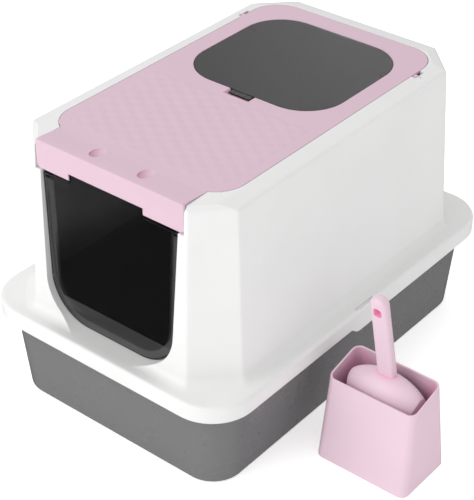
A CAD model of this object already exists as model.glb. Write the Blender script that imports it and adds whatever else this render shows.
import math

import bpy
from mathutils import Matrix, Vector


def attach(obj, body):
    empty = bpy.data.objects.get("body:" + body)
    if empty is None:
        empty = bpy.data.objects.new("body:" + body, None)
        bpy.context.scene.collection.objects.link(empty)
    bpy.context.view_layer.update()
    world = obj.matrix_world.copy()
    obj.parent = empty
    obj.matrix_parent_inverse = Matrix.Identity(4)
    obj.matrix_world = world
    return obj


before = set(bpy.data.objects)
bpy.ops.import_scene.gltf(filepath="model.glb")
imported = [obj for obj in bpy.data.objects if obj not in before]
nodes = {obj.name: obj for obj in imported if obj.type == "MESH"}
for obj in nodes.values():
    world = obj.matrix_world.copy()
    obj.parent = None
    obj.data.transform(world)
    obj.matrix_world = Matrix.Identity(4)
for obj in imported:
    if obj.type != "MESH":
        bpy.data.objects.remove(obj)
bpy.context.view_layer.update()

scene = bpy.context.scene


def turn_towards(thing, target):
    """Turn a camera or a lamp so that it looks from where it stands at the target."""
    thing.rotation_euler = (Vector(target) - thing.location).to_track_quat("-Z", "Y").to_euler()


# ---------------------------------------------------------------- camera
CAMERA_PLACE = (1.0623, -1.3213, 1.3003)
CAMERA_AIM = (-0.00267, -0.01559, 0.150)
SENSOR_WIDTH = 36.0                 # millimetres, as is the focal length
FOCAL_LENGTH = 109.66

camera_data = bpy.data.cameras.new("camera")
camera = bpy.data.objects.new("camera", camera_data)
scene.collection.objects.link(camera)
camera.location = CAMERA_PLACE
turn_towards(camera, CAMERA_AIM)
camera_data.sensor_width = SENSOR_WIDTH
camera_data.lens = FOCAL_LENGTH
camera_data.clip_start = 0.05
camera_data.clip_end = 100.0
scene.camera = camera


# ---------------------------------------------------------------- node trees
def linear(*values):
    """sRGB values from 0 to 255 as linear light, with an alpha of 1."""
    def one(v):
        v /= 255.0
        return v / 12.92 if v <= 0.04045 else ((v + 0.055) / 1.055) ** 2.4
    return tuple(one(v) for v in values) + (1.0,)


class Nodes:
    """Short way to build a node tree."""

    def __init__(self, tree):
        self.tree = tree

    def new(self, kind, settings=None, **inputs):
        """Add a node. An input is given by its name, with _ for a space, or as i0, i1 and so on by its
        number, where a node has several inputs of one name. Its value is a constant or another's output."""
        node = self.tree.nodes.new("ShaderNode" + kind)
        for key, value in (settings or {}).items():
            setattr(node, key, value)
        for key, value in inputs.items():
            if key[0] == "i" and key[1:].isdigit():
                socket = node.inputs[int(key[1:])]
            else:
                socket = node.inputs[key.replace("_", " ")]
            if isinstance(value, bpy.types.NodeSocket):
                self.tree.links.new(value, socket)
            else:
                socket.default_value = value
        return node


def arithmetic(n, operation, a, b=0.0):
    """One Math node's result."""
    return n.new("Math", {"operation": operation}, i0=a, i1=b).outputs[0]


def remap(n, value, start, end, low, high, smooth=False):
    """low where the value is at start or before it, high where it is at end or past it, and between the two
    in between."""
    settings = {"interpolation_type": "SMOOTHSTEP"} if smooth else None
    return n.new("MapRange", settings, i0=value, i1=start, i2=end, i3=low, i4=high).outputs[0]


def blend(n, factor, first, second):
    """A mix of two colours. A Mix node's colours are its inputs 6 and 7 and its output 2."""
    return n.new("Mix", {"data_type": "RGBA"}, Factor=factor, i6=first, i7=second).outputs[2]


def empty_material(name):
    material = bpy.data.materials.new(name)
    material.use_nodes = True
    material.node_tree.nodes.clear()
    return material, Nodes(material.node_tree)


# ---------------------------------------------------------------- studio
SKY_EDGE = (-0.05, 0.15)            # heights of a direction between which the world brightens
SKY_LIGHT = (0.05, 0.84)            # its strength below and above them
FLOOR_REACH = 30.0
FLOOR_DROP = 0.0004                 # keeps the floor just clear of the object's underside
FLOOR_GLOW = 0.48

scene.view_settings.view_transform = "Standard"
world = bpy.data.worlds.new("studio")
scene.world = world
world.use_nodes = True
world.node_tree.nodes.clear()
n = Nodes(world.node_tree)
direction = n.new("TexCoord").outputs["Generated"]
height = n.new("SeparateXYZ", Vector=direction).outputs["Z"]
sky = remap(n, height, *SKY_EDGE, *SKY_LIGHT, smooth=True)
background = n.new("Background", Color=(1, 1, 1, 1), Strength=sky)
n.new("OutputWorld", Surface=background.outputs[0])

key_data = bpy.data.lights.new("key", "AREA")
key_data.shape = "RECTANGLE"
key_data.size = 2.8
key_data.size_y = 2.4
key_data.energy = 46
key_light = bpy.data.objects.new("key", key_data)
scene.collection.objects.link(key_light)
key_light.location = (-1.2, -2.6, 2.2)
turn_towards(key_light, (0, 0, 0.2))

floor_mesh = bpy.data.meshes.new("floor")
floor_corners = [(x * FLOOR_REACH, y * FLOOR_REACH, 0) for x, y in ((-1, -1), (1, -1), (1, 1), (-1, 1))]
floor_mesh.from_pydata(floor_corners, [], [(0, 1, 2, 3)])
floor = bpy.data.objects.new("floor", floor_mesh)
scene.collection.objects.link(floor)
floor.location.z = -FLOOR_DROP
floor.visible_glossy = False
material, n = empty_material("floor")
shader = n.new("BsdfPrincipled", Base_Color=(0.93, 0.93, 0.93, 1), Roughness=1.0,
               Emission_Color=(1, 1, 1, 1), Emission_Strength=FLOOR_GLOW)
n.new("OutputMaterial", Surface=shader.outputs[0])
floor_mesh.materials.append(material)

# ---------------------------------------------------------------- moulded plastic
CLOUD_SCALE = 14.0                  # noise scales: slow shifts of tone and gloss,
SPECK_SCALE = 2600.0                # the mould's grain,
SCUFF_SCALE = 60.0                  # and scuffs
TONE_SHIFT = 0.05                   # how much darker the darkest cloud is
GLOSS_SHIFT = 0.05                  # how far the roughness strays each way
GRAIN_STRENGTH = 0.05
GRAIN_DEPTH = 0.0004
EDGE_RADIUS = 0.0008
FOLD_SKY = (0.30, 0.90)             # open sky at which a fold is all deep colour, and at which it has none


def moulded(name, colour, roughness, deep=None, fold=0.05, scuffs=0.10):
    """Injection-moulded plastic: fine spark-eroded grain, soft edges, uneven gloss and slight shifts of tone.
    deep, if given, is a deeper colour for folds and corners, where the plastic's own light gathers, and fold
    is how far off a face still makes a fold."""
    material, n = empty_material(name)
    place = n.new("TexCoord").outputs["Object"]
    cloud = n.new("TexNoise", Vector=place, Scale=CLOUD_SCALE, Detail=3.0, Roughness=0.6).outputs["Fac"]
    speck = n.new("TexNoise", Vector=place, Scale=SPECK_SCALE, Detail=2.0, Roughness=0.7).outputs["Fac"]
    scuff = n.new("TexNoise", Vector=place, Scale=SCUFF_SCALE, Detail=6.0, Roughness=0.75).outputs["Fac"]
    dark = tuple(c * (1 - TONE_SHIFT) for c in colour[:3]) + (1.0,)
    surface = blend(n, cloud, dark, colour)
    if deep:
        open_sky = n.new("AmbientOcclusion", {"samples": 8, "only_local": True}, Distance=fold).outputs["AO"]
        folds = remap(n, open_sky, *FOLD_SKY, 1.0, 0.0)
        surface = blend(n, folds, surface, deep)
    gloss = remap(n, cloud, 0.3, 0.7, roughness - GLOSS_SHIFT, roughness + GLOSS_SHIFT)
    wear = remap(n, scuff, 0.55, 0.80, 0.0, scuffs)
    rough = arithmetic(n, "ADD", gloss, wear)
    soft = n.new("Bevel", {"samples": 6}, Radius=EDGE_RADIUS).outputs[0]
    bump = n.new("Bump", Height=speck, Strength=GRAIN_STRENGTH, Distance=GRAIN_DEPTH, Normal=soft).outputs[0]
    shader = n.new("BsdfPrincipled", Base_Color=surface, Roughness=rough, Normal=bump)
    n.new("OutputMaterial", Surface=shader.outputs[0])
    return material


# ---------------------------------------------------------------- smoked plastic
DOORWAY_HALF = 0.0894               # half width of the doorway behind the door, at its foot
DOORWAY_CORNER = 0.047              # radius of its lower corners
DOORWAY_BOTTOM = 0.1555
DOORWAY_FOOT = 0.155                # height from which its sides lean out,
DOORWAY_SPREAD = 0.034              # and how far they do for each unit of height
BAND_START = 0.0005                 # the tone changes from this far inside the doorway's outline
BAND_END = 0.0015                   # to this far outside it
BORDER_START = 0.0104               # the door's black border fades in from this far outside the outline
BORDER_END = 0.0112                 # to this far
SHEET_NORMAL = 0.6                  # least part of its normal along the sheet's that makes a face clear
STREAK_SHIFT = 0.01                 # how far streaks move the dye, at most


def reach_from_doorway(n, axes):
    """Distance outwards from the doorway's outline drawn smaller by DOORWAY_CORNER all round, so that it is
    DOORWAY_CORNER on the outline itself, round corners included."""
    side = arithmetic(n, "ABSOLUTE", axes.outputs["X"])
    rise = arithmetic(n, "SUBTRACT", axes.outputs["Z"], DOORWAY_FOOT)
    lean = arithmetic(n, "MULTIPLY", rise, DOORWAY_SPREAD)
    straight = arithmetic(n, "SUBTRACT", side, lean)
    across = arithmetic(n, "SUBTRACT", straight, DOORWAY_HALF - DOORWAY_CORNER)
    below = arithmetic(n, "SUBTRACT", DOORWAY_BOTTOM + DOORWAY_CORNER, axes.outputs["Z"])
    across = arithmetic(n, "MAXIMUM", across, 0.0)
    below = arithmetic(n, "MAXIMUM", below, 0.0)
    squares = arithmetic(n, "ADD", arithmetic(n, "MULTIPLY", across, across),
                         arithmetic(n, "MULTIPLY", below, below))
    return arithmetic(n, "SQRT", squares)


def smoked(name, roughness, clear, towards, dye_from, dye_to, level=0.5, band=None):
    """Clear plastic, dyed smoke grey and polished. Lamps shine through it.
    clear is what one face lets through, at its darkest and its lightest, and the dye thins along the
    direction towards, from the distance dye_from to dye_to.
    band, given for the door, is the light let through outside the doorway's outline, and the door is black
    further out and on all its narrow faces. On the hatch only the narrow faces at its sides are black."""
    material, n = empty_material(name)
    coordinates = n.new("TexCoord")
    place = coordinates.outputs["Object"]
    cloud = n.new("TexNoise", Vector=place, Scale=18.0, Detail=3.0).outputs["Fac"]
    rough = remap(n, cloud, 0.3, 0.7, roughness * 0.6, roughness * 1.6)
    streak = n.new("TexNoise", Vector=place, Scale=5.0, Detail=1.0).outputs["Fac"]
    along = n.new("VectorMath", {"operation": "DOT_PRODUCT"}, i0=place, i1=towards).outputs["Value"]
    along = arithmetic(n, "ADD", along, arithmetic(n, "MULTIPLY", streak, STREAK_SHIFT))
    dye = remap(n, along, dye_from, dye_to, clear[0], clear[1], smooth=True)
    if band:
        reach = reach_from_doorway(n, n.new("SeparateXYZ", Vector=place))
        dye = remap(n, reach, DOORWAY_CORNER - BAND_START, DOORWAY_CORNER + BAND_END, dye, band, smooth=True)
    tint = n.new("CombineColor", Red=dye, Green=dye, Blue=dye).outputs[0]
    glass = n.new("BsdfPrincipled", Base_Color=tint, Roughness=rough, IOR=1.49, Specular_IOR_Level=level,
                  Transmission_Weight=1.0)
    normal = n.new("SeparateXYZ", Vector=coordinates.outputs["Normal"])
    flat = arithmetic(n, "MAXIMUM", arithmetic(n, "ABSOLUTE", normal.outputs["Y"]),
                      arithmetic(n, "ABSOLUTE", normal.outputs["Z"]) if not band else 0.0)
    edge = arithmetic(n, "LESS_THAN", flat, SHEET_NORMAL)
    if band:
        border = remap(n, reach, DOORWAY_CORNER + BORDER_START, DOORWAY_CORNER + BORDER_END, 0.0, 1.0)
        edge = arithmetic(n, "MAXIMUM", edge, border)
    black = n.new("BsdfPrincipled", Base_Color=(0.006, 0.006, 0.006, 1), Roughness=0.3)
    sheet = n.new("MixShader", Fac=edge, i1=glass.outputs[0], i2=black.outputs[0])
    shadow = n.new("LightPath").outputs["Is Shadow Ray"]
    through = n.new("BsdfTransparent", Color=tint)
    both = n.new("MixShader", Fac=shadow, i1=sheet.outputs[0], i2=through.outputs[0])
    n.new("OutputMaterial", Surface=both.outputs[0])
    return material


# ---------------------------------------------------------------- materials
def paint(node, material):
    slots = nodes[node].data.materials
    slots.clear()
    slots.append(material)


white = moulded("white_plastic", colour=(0.81, 0.81, 0.805, 1), roughness=0.42)
lid_pink = moulded("lid_pink_plastic", colour=(0.68, 0.49, 0.58, 1), roughness=0.48,
                   deep=(0.80, 0.30, 0.47, 1), fold=0.014)
stand_pink = moulded("pink_plastic", colour=(0.78, 0.58, 0.675, 1), roughness=0.42,
                     deep=(0.97, 0.33, 0.58, 1))
grey = moulded("grey_plastic", colour=linear(121, 121, 122), roughness=0.27, scuffs=0.03)
door_smoke = smoked("door_smoked_plastic", roughness=0.03, clear=(0.05, 0.25),
                    towards=(-0.757, 0, 1), dye_from=0.29, dye_to=0.37, band=0.32)
hatch_smoke = smoked("hatch_smoked_plastic", roughness=0.04, clear=(0.06, 0.31),
                     towards=(1, 0.5, 0), dye_from=-0.10, dye_to=0.12, level=0.34)

for node in ("hood", "lid_pivot_pins", "hatch_pivot_pins", "door_pivot_pins"):
    paint(node, white)
paint("lid", lid_pink)
for node in ("scoop", "scoop_stand"):
    paint(node, stand_pink)
paint("tray", grey)
paint("front_door", door_smoke)
paint("hatch", hatch_smoke)

# ---------------------------------------------------------------- embossed tread on the lid
TREAD_X = 0.131                     # half width of the embossed field
TREAD_FRONT = -0.209
TREAD_REAR = -0.024
TREAD_CELL = (0.0150, 0.0105)       # half periods of the staggered cells across and along
TREAD_STEP = 0.0014                 # spacing of the mesh
TREAD_CORNER = 0.038                # radius of the field's front corners
TREAD_FADE = 0.014                  # width of the border over which the bumps rise
TREAD_SINK = 0.0003                 # how far the border lies below the panel
TREAD_RISE = 0.00038                # how far the field rises from there between the bumps,
TREAD_BUMP = 0.00062                # and how much further a bump does
TREAD_BLUNT = 0.75                  # under 1 makes the bumps blunter than a wave
PANEL_TOP = 0.386


def ramp(value, start, end):
    """0 up to start, 1 from end, and smooth between them."""
    t = min(max((value - start) / (end - start), 0.0), 1.0)
    return t * t * (3 - 2 * t)


def tread_height(x, y):
    """Staggered lens-shaped bumps that fade into the flat panel, sunk just below it at the border."""
    wave = math.cos(math.pi * x / TREAD_CELL[0]) * math.cos(math.pi * y / TREAD_CELL[1])
    bump = 0.5 + 0.5 * math.copysign(abs(wave) ** TREAD_BLUNT, wave)
    edge = min(TREAD_X - abs(x), y - TREAD_FRONT, TREAD_REAR - y)
    corner = math.hypot(max(abs(x) - TREAD_X + TREAD_CORNER, 0), max(TREAD_FRONT + TREAD_CORNER - y, 0))
    fade = ramp(min(edge, TREAD_CORNER - corner), 0.0, TREAD_FADE)
    return PANEL_TOP - TREAD_SINK + fade * (TREAD_RISE + TREAD_BUMP * bump)


columns = round(2 * TREAD_X / TREAD_STEP)
rows = round((TREAD_REAR - TREAD_FRONT) / TREAD_STEP)
points = []
for row in range(rows + 1):
    y = TREAD_FRONT + (TREAD_REAR - TREAD_FRONT) * row / rows
    for column in range(columns + 1):
        x = -TREAD_X + 2 * TREAD_X * column / columns
        points.append((x, y, tread_height(x, y)))
faces = []
for row in range(rows):
    for column in range(columns):
        a = row * (columns + 1) + column
        faces.append((a, a + 1, a + columns + 2, a + columns + 1))
tread_mesh = bpy.data.meshes.new("lid_tread")
tread_mesh.from_pydata(points, [], faces)
tread_mesh.polygons.foreach_set("use_smooth", [True] * len(faces))
tread_mesh.materials.append(lid_pink)
tread = bpy.data.objects.new("lid_tread", tread_mesh)
scene.collection.objects.link(tread)
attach(tread, "lid")
